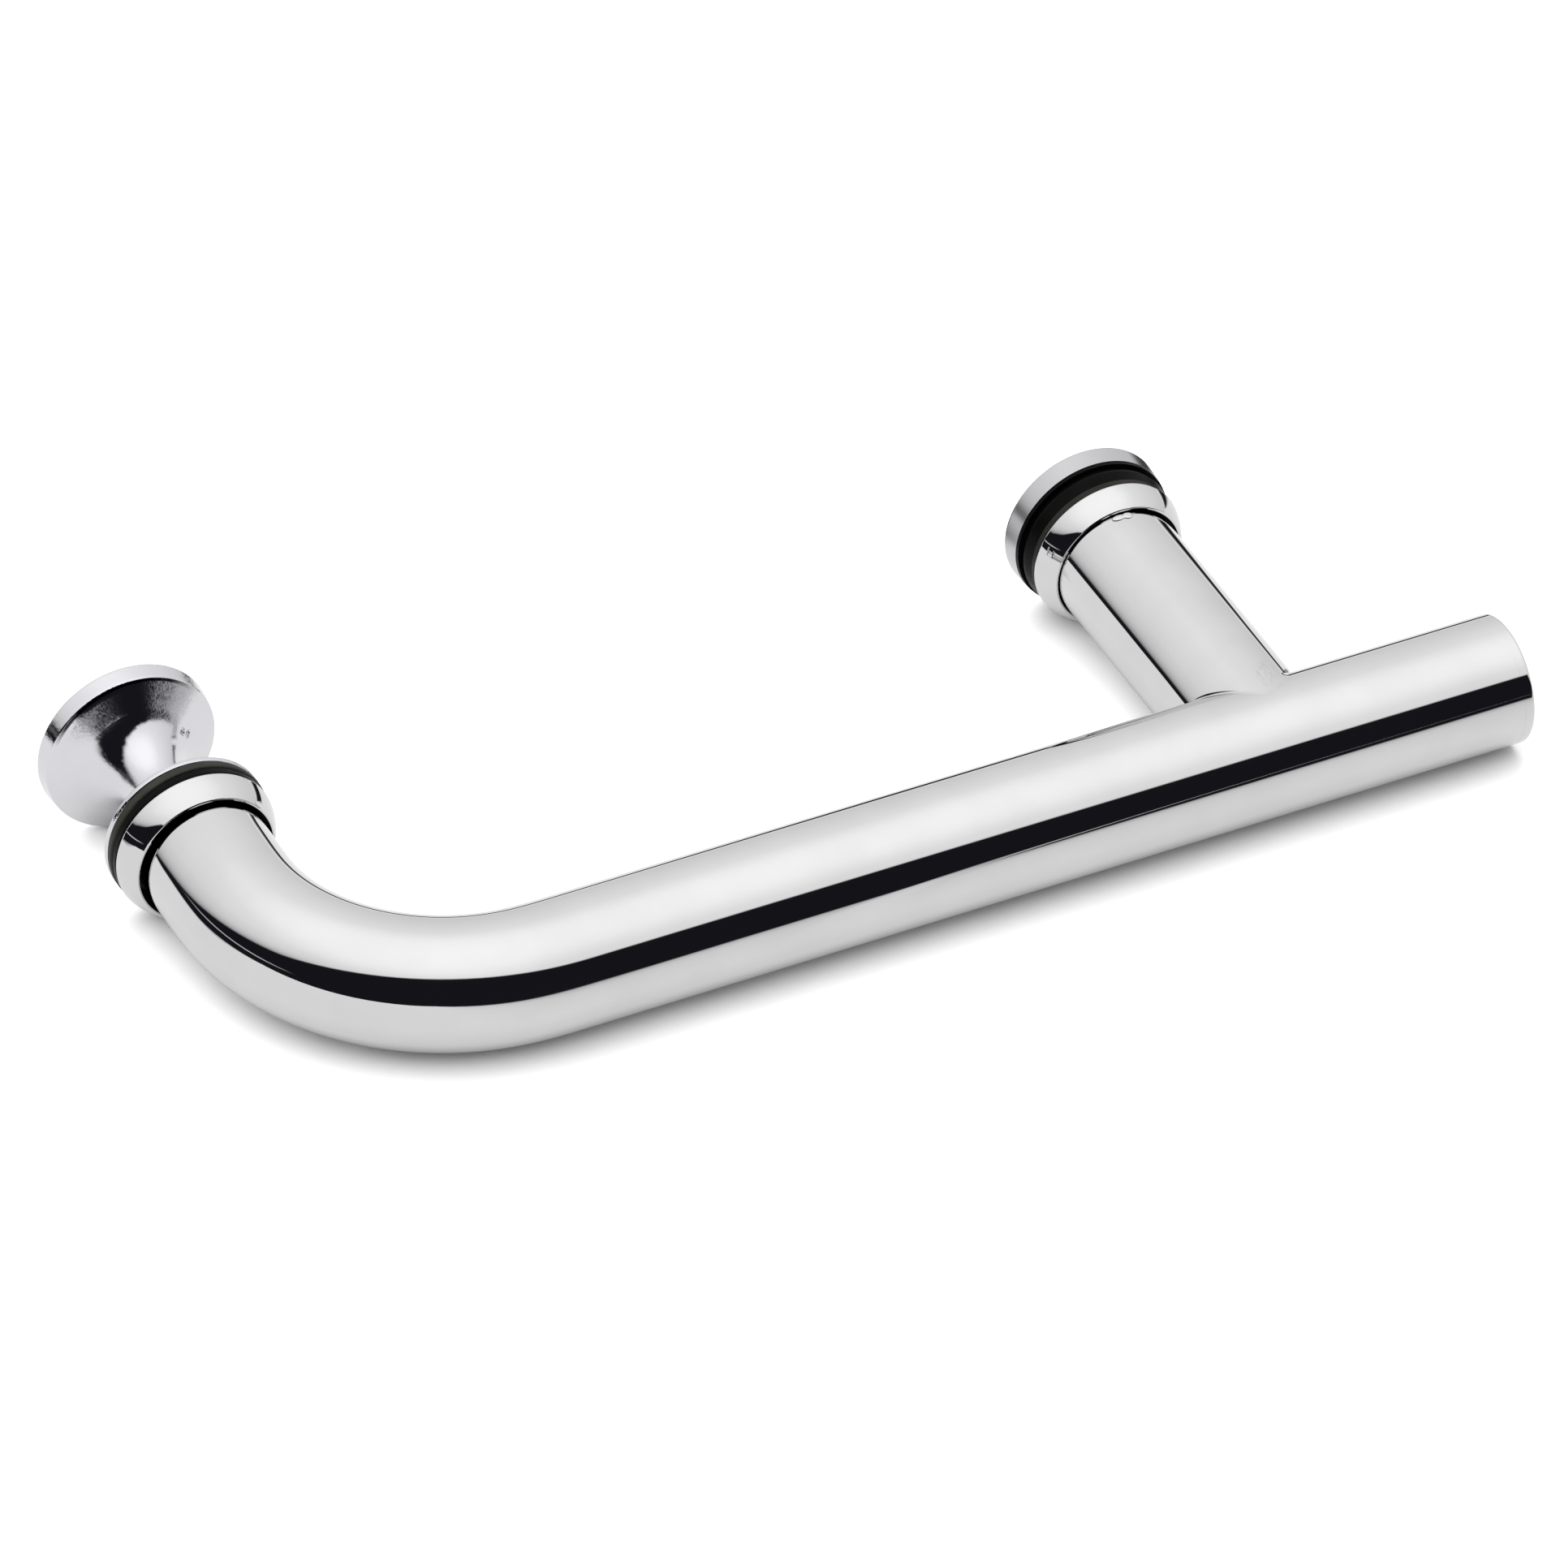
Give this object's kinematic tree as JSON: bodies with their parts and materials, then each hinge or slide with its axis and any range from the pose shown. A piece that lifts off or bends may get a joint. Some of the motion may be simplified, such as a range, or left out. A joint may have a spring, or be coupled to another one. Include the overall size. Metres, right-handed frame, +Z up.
{
  "type": "shower door handle",
  "caption": "Chromed tube pull for a glass shower door, bent into a stem at its knob end and held by a stand-off near its free end; gasketed collars clamp the glass.",
  "frame": {"origin": "centre of the knob-end hole in the glass, on the glass face of the ring that seals it on the bar's side", "axes": "+X along the bar to its free end, +Y from the bar through the glass to the knob, +Z up, square to the plane of the tubes"},
  "size_m": [0.196, 0.0793, 0.0264],
  "materials": {
    "tube_chrome": "bright chrome plate",
    "collar_chrome": "bright chrome plate, turned",
    "cap_chrome": "satin chrome plate, turned",
    "knob_chrome": "bright chrome plate, lightly scuffed",
    "black_rubber": "moulded, dull",
    "brown_rubber": "moulded, dull",
    "washer_plastic": "satin",
    "sleeve_plastic": "satin",
    "plug_brass": "turned",
    "stud_steel": "rolled thread"
  },
  "bodies": {
    "root": {"bar_tube": "tube_chrome", "standoff_tube": "tube_chrome", "bar_end_cap": "tube_chrome", "knob_collar": "collar_chrome", "cap_collar": "collar_chrome", "knob": "knob_chrome", "back_cap": "cap_chrome", "knob_seal": "black_rubber", "knob_washer": "washer_plastic", "cap_collar_seal": "brown_rubber", "cap_seal": "black_rubber", "knob_sleeve": "sleeve_plastic", "cap_sleeve": "sleeve_plastic", "knob_insert": "plug_brass", "cap_insert": "plug_brass", "knob_stud": "stud_steel", "cap_stud": "stud_steel"}
  },
  "joints": []
}
